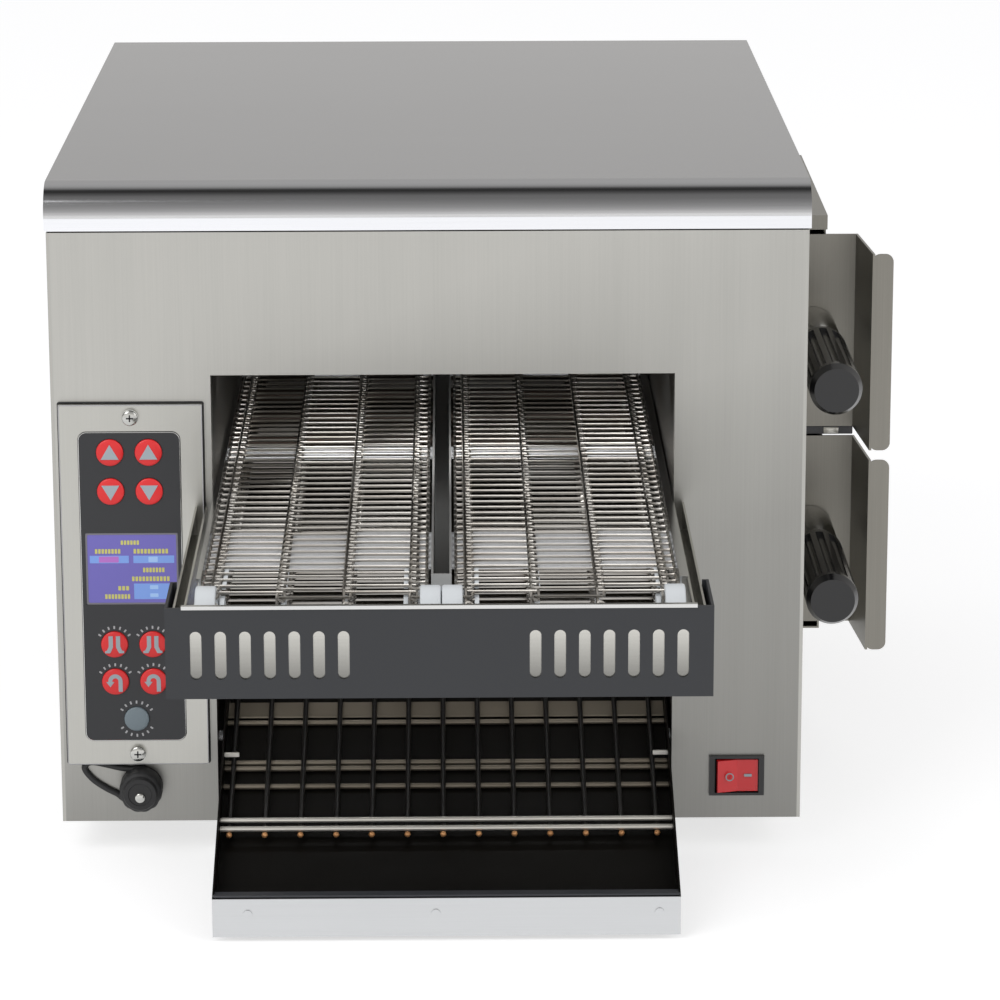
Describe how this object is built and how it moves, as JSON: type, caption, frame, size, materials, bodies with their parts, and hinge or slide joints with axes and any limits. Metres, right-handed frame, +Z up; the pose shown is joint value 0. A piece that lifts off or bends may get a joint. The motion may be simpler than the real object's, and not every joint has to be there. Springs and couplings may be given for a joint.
{
  "type": "conveyor toaster",
  "caption": "Stainless counter-top conveyor toaster with side-by-side wire belts behind a slotted guard, sloping wire-rack outlet, button panel and side pull-out units.",
  "frame": {"origin": "under the middle of the whole object's box, in the plane of the feet", "axes": "+Z up, the front with the belts, outlet and controls faces -Y, +X to the right as seen from the front"},
  "size_m": [0.5116, 0.7896, 0.405],
  "materials": {
    "stainless": "brushed",
    "lid_steel": "brushed",
    "inner_steel": "heat-dulled",
    "bright_wire": "bright",
    "dark_steel": "dark satin",
    "charcoal_guard": "satin powder coat",
    "black_tray": "black non-stick",
    "black_wire": "black satin",
    "white_block": "satin",
    "heater_sheath": "oxidised",
    "machine_steel": "machined",
    "overlay_black": "satin film",
    "button_red": "satin dome",
    "button_grey": "satin dome",
    "screen": "lit display",
    "board_green": "matt",
    "switch_black": "satin",
    "rocker_red": "glossy",
    "cap_black": "matt",
    "grip_black": "glossy",
    "foot_rubber": "matt",
    "fan_black": "matt"
  },
  "bodies": {
    "cabinet": {"base_pan": "stainless", "feet": "foot_rubber", "front_panel": "stainless", "left_side_panel": "stainless", "right_side_panel": "stainless", "rear_panel": "stainless", "top_frame": "stainless", "top_lid": "lid_steel", "panel_screws": "machine_steel", "toasting_tunnel": "inner_steel", "heating_elements": "heater_sheath", "conveyor_rails": "inner_steel", "centre_divider": "dark_steel", "conveyor_frame": "stainless", "front_guard": "charcoal_guard", "guard_trim": "stainless", "shaft_bearings": "white_block", "belt_slide_plates": "inner_steel", "left_belt": "bright_wire", "right_belt": "bright_wire", "gearmotors": "machine_steel", "drive_chains": "machine_steel", "chute": "inner_steel", "tray_pins": "machine_steel", "control_bezel": "stainless", "control_overlay": "overlay_black", "display_window": "screen", "control_board": "board_green", "switch_bezel": "switch_black", "port_socket": "machine_steel", "cap_tether": "cap_black", "drawer_housing": "stainless", "housing_cap": "stainless", "fan_housing": "fan_black", "cable_gland": "switch_black"},
    "left_drive": {"left_drive_shaft": "machine_steel"},
    "right_drive": {"right_drive_shaft": "machine_steel"},
    "left_idler": {"left_idler": "machine_steel"},
    "right_idler": {"right_idler": "machine_steel"},
    "left_motor_sprocket": {"left_motor_sprocket": "machine_steel"},
    "right_motor_sprocket": {"right_motor_sprocket": "machine_steel"},
    "landing_tray": {"landing_tray": "black_tray", "tray_lip": "stainless"},
    "product_rack": {"product_rack": "black_wire"},
    "power_rocker": {"power_rocker": "rocker_red"},
    "port_cap": {"port_cap": "cap_black"},
    "upper_drawer": {"upper_drawer": "stainless", "upper_grip": "grip_black"},
    "lower_drawer": {"lower_drawer": "stainless", "lower_grip": "grip_black"},
    "fan_rotor": {"fan_rotor": "fan_black"},
    "button_up_left": {"button_up_left": "button_red"},
    "button_up_right": {"button_up_right": "button_red"},
    "button_down_left": {"button_down_left": "button_red"},
    "button_down_right": {"button_down_right": "button_red"},
    "button_merge_left": {"button_merge_left": "button_red"},
    "button_merge_right": {"button_merge_right": "button_red"},
    "button_reverse_left": {"button_reverse_left": "button_red"},
    "button_reverse_right": {"button_reverse_right": "button_red"},
    "button_select": {"button_select": "button_grey"}
  },
  "joints": [
    {"name": "left_drive_spin", "type": "hinge", "parent": "cabinet", "child": "left_drive", "pos_m": [-0.0922, 0.321, 0.2031], "axis": [1, 0, 0], "continuous": true},
    {"name": "left_idler_spin", "type": "hinge", "parent": "cabinet", "child": "left_idler", "pos_m": [-0.0922, -0.366, 0.2031], "axis": [1, 0, 0], "continuous": true},
    {"name": "left_motor_spin", "type": "hinge", "parent": "cabinet", "child": "left_motor_sprocket", "pos_m": [-0.0922, 0.321, 0.0957], "axis": [1, 0, 0], "continuous": true},
    {"name": "right_drive_spin", "type": "hinge", "parent": "cabinet", "child": "right_drive", "pos_m": [0.0428, 0.321, 0.2031], "axis": [1, 0, 0], "continuous": true},
    {"name": "right_idler_spin", "type": "hinge", "parent": "cabinet", "child": "right_idler", "pos_m": [0.0428, -0.366, 0.2031], "axis": [1, 0, 0], "continuous": true},
    {"name": "right_motor_spin", "type": "hinge", "parent": "cabinet", "child": "right_motor_sprocket", "pos_m": [0.0428, 0.321, 0.0957], "axis": [1, 0, 0], "continuous": true},
    {"name": "button_up_left_press", "type": "slide", "parent": "cabinet", "child": "button_up_left", "axis": [0, 1, 0], "range_m": [0, 0.001], "stiffness_N_per_m": 800, "springref_m": -0.001},
    {"name": "button_up_right_press", "type": "slide", "parent": "cabinet", "child": "button_up_right", "axis": [0, 1, 0], "range_m": [0, 0.001], "stiffness_N_per_m": 800, "springref_m": -0.001},
    {"name": "button_down_left_press", "type": "slide", "parent": "cabinet", "child": "button_down_left", "axis": [0, 1, 0], "range_m": [0, 0.001], "stiffness_N_per_m": 800, "springref_m": -0.001},
    {"name": "button_down_right_press", "type": "slide", "parent": "cabinet", "child": "button_down_right", "axis": [0, 1, 0], "range_m": [0, 0.001], "stiffness_N_per_m": 800, "springref_m": -0.001},
    {"name": "button_merge_left_press", "type": "slide", "parent": "cabinet", "child": "button_merge_left", "axis": [0, 1, 0], "range_m": [0, 0.001], "stiffness_N_per_m": 800, "springref_m": -0.001},
    {"name": "button_merge_right_press", "type": "slide", "parent": "cabinet", "child": "button_merge_right", "axis": [0, 1, 0], "range_m": [0, 0.001], "stiffness_N_per_m": 800, "springref_m": -0.001},
    {"name": "button_reverse_left_press", "type": "slide", "parent": "cabinet", "child": "button_reverse_left", "axis": [0, 1, 0], "range_m": [0, 0.001], "stiffness_N_per_m": 800, "springref_m": -0.001},
    {"name": "button_reverse_right_press", "type": "slide", "parent": "cabinet", "child": "button_reverse_right", "axis": [0, 1, 0], "range_m": [0, 0.001], "stiffness_N_per_m": 800, "springref_m": -0.001},
    {"name": "button_select_press", "type": "slide", "parent": "cabinet", "child": "button_select", "axis": [0, 1, 0], "range_m": [0, 0.001], "stiffness_N_per_m": 800, "springref_m": -0.001},
    {"name": "power_rocker_rock", "type": "hinge", "parent": "cabinet", "child": "power_rocker", "pos_m": [0.1496, -0.1677, 0.0475], "axis": [0, 0, 1], "range_deg": [-16, 0]},
    {"name": "port_cap_turn", "type": "hinge", "parent": "cabinet", "child": "port_cap", "pos_m": [-0.2046, -0.179, 0.0431], "axis": [0, 1, 0], "range_deg": [0, 90]},
    {"name": "landing_tray_tilt", "type": "hinge", "parent": "cabinet", "child": "landing_tray", "pos_m": [-0.0322, -0.104, 0.0928], "axis": [-1, 0, 0], "range_deg": [0, 15]},
    {"name": "product_rack_lift", "type": "slide", "parent": "landing_tray", "child": "product_rack", "axis": [0, 0, 1], "range_m": [0, 0.03]},
    {"name": "upper_drawer_pull", "type": "slide", "parent": "cabinet", "child": "upper_drawer", "axis": [0, -1, 0], "range_m": [0, 0.15]},
    {"name": "lower_drawer_pull", "type": "slide", "parent": "cabinet", "child": "lower_drawer", "axis": [0, -1, 0], "range_m": [0, 0.15]},
    {"name": "fan_spin", "type": "hinge", "parent": "cabinet", "child": "fan_rotor", "pos_m": [-0.2042, 0.366, 0.26], "axis": [0, 1, 0], "continuous": true}
  ],
  "couplings": [
    {"joint": "left_idler_spin", "follows": "left_drive_spin", "ratio": 1},
    {"joint": "left_motor_spin", "follows": "left_drive_spin", "ratio": 1},
    {"joint": "right_idler_spin", "follows": "right_drive_spin", "ratio": 1},
    {"joint": "right_motor_spin", "follows": "right_drive_spin", "ratio": 1}
  ]
}
